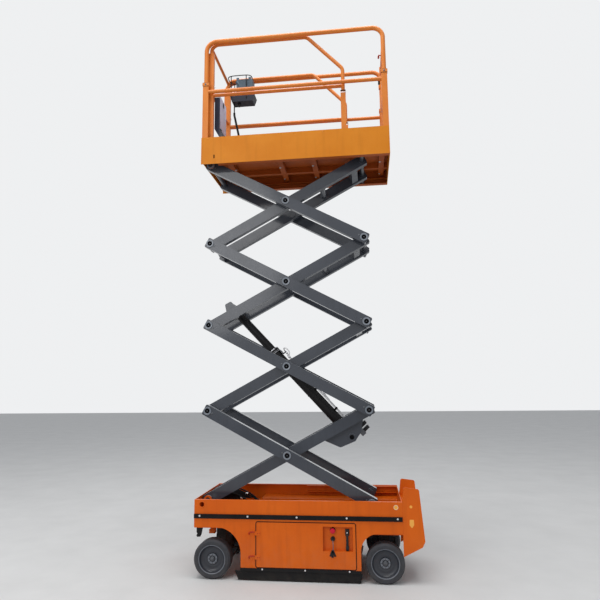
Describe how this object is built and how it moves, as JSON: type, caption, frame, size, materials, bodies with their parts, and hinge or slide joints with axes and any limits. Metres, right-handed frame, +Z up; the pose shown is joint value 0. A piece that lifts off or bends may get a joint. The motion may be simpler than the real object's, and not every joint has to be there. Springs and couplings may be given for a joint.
{
  "type": "scissor lift",
  "caption": "Slab electric scissor lift with stacked crossed arms, a raised platform with guardrails and roll-out deck, side doors, rear ladder and steered front wheels.",
  "frame": {"origin": "on the ground, midway along the machine's length and width", "axes": "+X towards the steered end, +Y towards the side with the ground controls, +Z up"},
  "size_m": [1.87, 0.81, 4.8156],
  "materials": {
    "frame_paint": "satin",
    "platform_paint": "satin",
    "deck_paint": "satin",
    "rail_paint": "satin",
    "arm_paint": "satin",
    "black_paint": "satin",
    "black_trim": "matt",
    "battery_case": "matt",
    "axle_iron": "matt",
    "rod_steel": "satin",
    "tyre_rubber": "matt",
    "rim_paint": "satin",
    "switch_plastic": "gloss",
    "box_grey": "matt",
    "box_dark": "matt",
    "cable_rubber": "matt"
  },
  "bodies": {
    "chassis": {"base_frame": "frame_paint", "side_skirt_left": "frame_paint", "side_skirt_right": "frame_paint", "rub_strips": "black_trim", "guard_sills": "black_paint", "rear_ladder": "frame_paint", "battery_pack": "battery_case", "power_unit": "battery_case", "front_axle": "axle_iron", "rear_axle": "axle_iron"},
    "left_door": {"door_left": "frame_paint", "ground_controls": "switch_plastic"},
    "right_door": {"door_right": "frame_paint"},
    "left_guard": {"pothole_guard_left": "black_paint"},
    "right_guard": {"pothole_guard_right": "black_paint"},
    "left_knuckle": {"knuckle_left": "axle_iron"},
    "right_knuckle": {"knuckle_right": "axle_iron"},
    "tie_rod": {"tie_rod": "axle_iron"},
    "barrel": {"lift_barrel": "black_paint"},
    "ram": {"lift_ram": "rod_steel"},
    "platform": {"platform_frame": "deck_paint", "platform_panels": "platform_paint", "guardrails": "rail_paint"},
    "gate": {"entry_gate": "rail_paint"},
    "extension": {"extension_deck": "platform_paint", "extension_rails": "rail_paint", "control_box": "box_grey", "manual_box": "box_dark", "control_cable": "cable_rubber"},
    "front_left_wheel": {"tyre_front_left": "tyre_rubber", "rim_front_left": "rim_paint"},
    "front_right_wheel": {"tyre_front_right": "tyre_rubber", "rim_front_right": "rim_paint"},
    "rear_left_wheel": {"tyre_rear_left": "tyre_rubber", "rim_rear_left": "rim_paint"},
    "rear_right_wheel": {"tyre_rear_right": "tyre_rubber", "rim_rear_right": "rim_paint"},
    "inner_1": {"inner_arm_1": "arm_paint"},
    "outer_1": {"outer_arm_1": "arm_paint"},
    "inner_2": {"inner_arm_2": "arm_paint"},
    "outer_2": {"outer_arm_2": "arm_paint"},
    "inner_3": {"inner_arm_3": "arm_paint"},
    "outer_3": {"outer_arm_3": "arm_paint"},
    "inner_4": {"inner_arm_4": "arm_paint"},
    "outer_4": {"outer_arm_4": "arm_paint"}
  },
  "joints": [
    {"name": "lift", "type": "hinge", "parent": "chassis", "child": "inner_1", "pos_m": [0.871, 0, 0.587], "axis": [0, 1, 0], "range_deg": [-24.5, 25.5]},
    {"name": "outer_1_pivot", "type": "hinge", "parent": "inner_1", "child": "outer_1", "pos_m": [0.17125, 0, 0.9622], "axis": [0, 1, 0], "range_deg": [-51.2, 49.2]},
    {"name": "outer_2_pivot", "type": "hinge", "parent": "inner_1", "child": "outer_2", "pos_m": [-0.52851, 0, 1.33741], "axis": [0, 1, 0], "range_deg": [-51.2, 49.2]},
    {"name": "inner_2_pivot", "type": "hinge", "parent": "outer_2", "child": "inner_2", "pos_m": [0.17125, 0, 1.71262], "axis": [0, 1, 0], "range_deg": [-49.2, 51.2]},
    {"name": "inner_3_pivot", "type": "hinge", "parent": "outer_2", "child": "inner_3", "pos_m": [0.871, 0, 2.08782], "axis": [0, 1, 0], "range_deg": [-49.2, 51.2]},
    {"name": "outer_3_pivot", "type": "hinge", "parent": "inner_3", "child": "outer_3", "pos_m": [0.17125, 0, 2.46303], "axis": [0, 1, 0], "range_deg": [-51.2, 49.2]},
    {"name": "outer_4_pivot", "type": "hinge", "parent": "inner_3", "child": "outer_4", "pos_m": [-0.52851, 0, 2.83823], "axis": [0, 1, 0], "range_deg": [-51.2, 49.2]},
    {"name": "inner_4_pivot", "type": "hinge", "parent": "outer_4", "child": "inner_4", "pos_m": [0.17125, 0, 3.21344], "axis": [0, 1, 0], "range_deg": [-49.2, 51.2]},
    {"name": "platform_level", "type": "hinge", "parent": "outer_4", "child": "platform", "pos_m": [0.871, 0, 3.58864], "axis": [0, 1, 0], "range_deg": [-24.7, 25.7]},
    {"name": "barrel_pivot", "type": "hinge", "parent": "inner_1", "child": "barrel", "pos_m": [-0.37415, 0, 1.1026], "axis": [0, 1, 0], "range_deg": [-47.38, 45.52]},
    {"name": "ram_slide", "type": "slide", "parent": "barrel", "child": "ram", "axis": [0.6815, 0, 0.7318], "range_m": [-0.4082, 0.4248]},
    {"name": "steer_left", "type": "hinge", "parent": "chassis", "child": "left_knuckle", "pos_m": [0.7825, 0.226, 0.1525], "axis": [0, 0, 1], "range_deg": [-58, 58]},
    {"name": "steer_right", "type": "hinge", "parent": "chassis", "child": "right_knuckle", "pos_m": [0.7825, -0.226, 0.1525], "axis": [0, 0, 1], "range_deg": [-58.2, 58.2]},
    {"name": "tie_rod_pivot", "type": "hinge", "parent": "left_knuckle", "child": "tie_rod", "pos_m": [0.7125, 0.226, 0.065], "axis": [0, 0, 1], "range_deg": [-58.2, 58.2]},
    {"name": "roll_front_left", "type": "hinge", "parent": "left_knuckle", "child": "front_left_wheel", "pos_m": [0.7825, 0.338, 0.1525], "axis": [0, 1, 0], "continuous": true},
    {"name": "roll_front_right", "type": "hinge", "parent": "right_knuckle", "child": "front_right_wheel", "pos_m": [0.7825, -0.338, 0.1525], "axis": [0, 1, 0], "continuous": true},
    {"name": "roll_rear_left", "type": "hinge", "parent": "chassis", "child": "rear_left_wheel", "pos_m": [-0.6205, 0.338, 0.1525], "axis": [0, 1, 0], "continuous": true},
    {"name": "roll_rear_right", "type": "hinge", "parent": "chassis", "child": "rear_right_wheel", "pos_m": [-0.6205, -0.338, 0.1525], "axis": [0, 1, 0], "continuous": true},
    {"name": "door_left_swing", "type": "hinge", "parent": "chassis", "child": "left_door", "pos_m": [0.428, 0.3996, 0.278], "axis": [0, 0, -1], "range_deg": [0, 100]},
    {"name": "door_right_swing", "type": "hinge", "parent": "chassis", "child": "right_door", "pos_m": [0.428, -0.3996, 0.278], "axis": [0, 0, 1], "range_deg": [0, 100]},
    {"name": "guard_left_fold", "type": "hinge", "parent": "chassis", "child": "left_guard", "pos_m": [0.0745, 0.387, 0.07], "axis": [1, 0, 0], "range_deg": [-88, 0]},
    {"name": "guard_right_fold", "type": "hinge", "parent": "chassis", "child": "right_guard", "pos_m": [0.0745, -0.387, 0.07], "axis": [-1, 0, 0], "range_deg": [-88, 0]},
    {"name": "extension_slide", "type": "slide", "parent": "platform", "child": "extension", "axis": [1, 0, 0], "range_m": [0, 0.9]},
    {"name": "gate_swing", "type": "hinge", "parent": "platform", "child": "gate", "pos_m": [-0.7315, -0.266, 4.20464], "axis": [0, 0, -1], "range_deg": [0, 90]}
  ],
  "couplings": [
    {"joint": "outer_1_pivot", "follows": "lift", "ratio": -2},
    {"joint": "outer_2_pivot", "follows": "lift", "ratio": -2},
    {"joint": "inner_2_pivot", "follows": "lift", "ratio": 2},
    {"joint": "inner_3_pivot", "follows": "lift", "ratio": 2},
    {"joint": "outer_3_pivot", "follows": "lift", "ratio": -2},
    {"joint": "outer_4_pivot", "follows": "lift", "ratio": -2},
    {"joint": "inner_4_pivot", "follows": "lift", "ratio": 2},
    {"joint": "platform_level", "follows": "lift", "ratio": 1},
    {"joint": "barrel_pivot", "follows": "lift", "ratio": -1.85},
    {"joint": "ram_slide", "follows": "lift", "m_per_rad": 0.95},
    {"joint": "steer_right", "follows": "steer_left", "ratio": 1},
    {"joint": "tie_rod_pivot", "follows": "steer_left", "ratio": -1}
  ]
}
